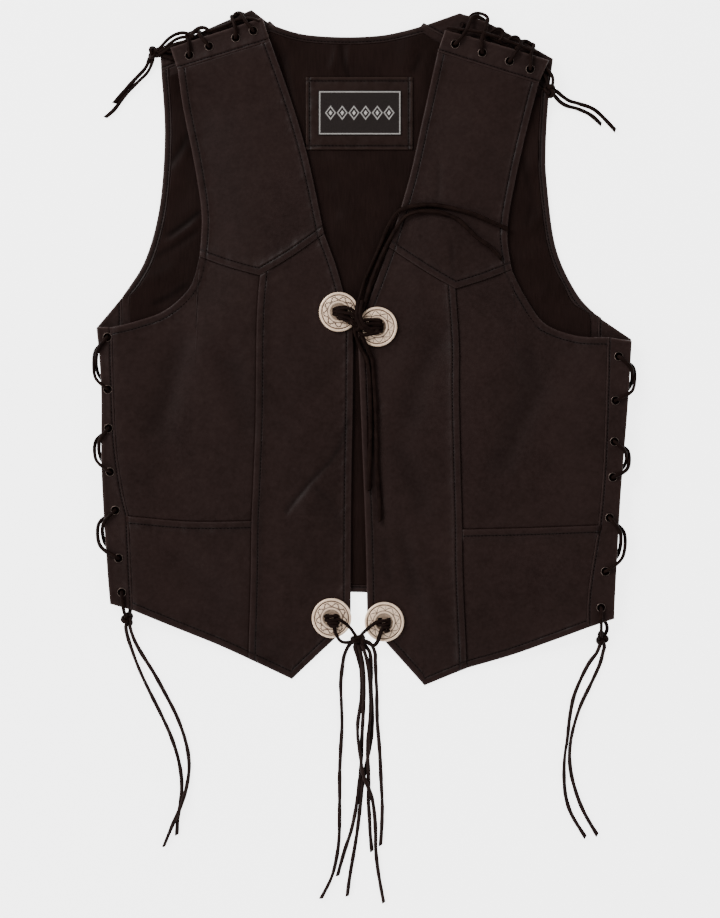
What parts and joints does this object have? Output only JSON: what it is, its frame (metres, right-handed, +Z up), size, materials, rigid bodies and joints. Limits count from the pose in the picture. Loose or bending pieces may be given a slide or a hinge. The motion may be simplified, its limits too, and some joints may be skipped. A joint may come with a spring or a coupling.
{
  "type": "leather vest",
  "caption": "Sleeveless open-front leather vest laid flat, with a satin back lining, laced sides and shoulders, pointed yokes and lace ties through slotted metal discs.",
  "frame": {"origin": "middle of the vest without its free lace ends, on the surface it lies on", "axes": "+Z up from the surface the vest lies on, +Y from the hem to the shoulders, +X to the right as the vest is looked at from above"},
  "size_m": [0.514, 0.8429, 0.0159],
  "materials": {
    "leather": "satin, fine grain",
    "lining": "satin",
    "woven_label": "woven, matte",
    "lace": "satin",
    "nickel": "antiqued nickel"
  },
  "bodies": {
    "root": {"back_panel": "leather", "back_lining": "lining", "side_strip_back_left": "leather", "shoulder_strip_back_left": "leather", "side_strip_back_right": "leather", "shoulder_strip_back_right": "leather", "front_yoke_left": "leather", "front_side_left": "leather", "front_pocket_left": "leather", "front_centre_left": "leather", "side_strip_front_left": "leather", "shoulder_strip_front_left": "leather", "front_yoke_right": "leather", "front_side_right": "leather", "front_pocket_right": "leather", "front_centre_right": "leather", "side_strip_front_right": "leather", "shoulder_strip_front_right": "leather", "label_patch": "leather", "label_woven": "woven_label", "concho_upper_left": "nickel", "concho_upper_right": "nickel", "concho_lower_left": "nickel", "concho_lower_right": "nickel", "side_lacing_left": "lace", "side_lacing_right": "lace", "shoulder_lacing_left": "lace", "shoulder_lacing_right": "lace", "concho_lace_upper_left": "lace", "concho_lace_upper_right": "lace", "concho_lace_lower_left_short": "lace", "concho_lace_lower_left_long": "lace", "concho_lace_lower_right_short": "lace", "concho_lace_lower_right_long": "lace", "knot_upper": "lace", "knot_lower": "lace", "knot_side_left": "lace", "knot_side_right": "lace", "knot_shoulder_left": "lace", "knot_shoulder_right": "lace", "tail_side_left_1": "lace", "tail_side_left_2": "lace", "tail_side_right_1": "lace", "tail_side_right_2": "lace", "tail_shoulder_left_1": "lace", "tail_shoulder_left_2": "lace", "tail_shoulder_right_1": "lace", "tail_shoulder_right_2": "lace", "tail_upper_up_1": "lace", "tail_upper_up_2": "lace", "tail_upper_down_1": "lace", "tail_upper_down_2": "lace", "tail_lower_1": "lace", "tail_lower_2": "lace", "tail_lower_3": "lace", "tail_lower_4": "lace", "tail_lower_5": "lace", "tail_lower_6": "lace"}
  },
  "joints": []
}
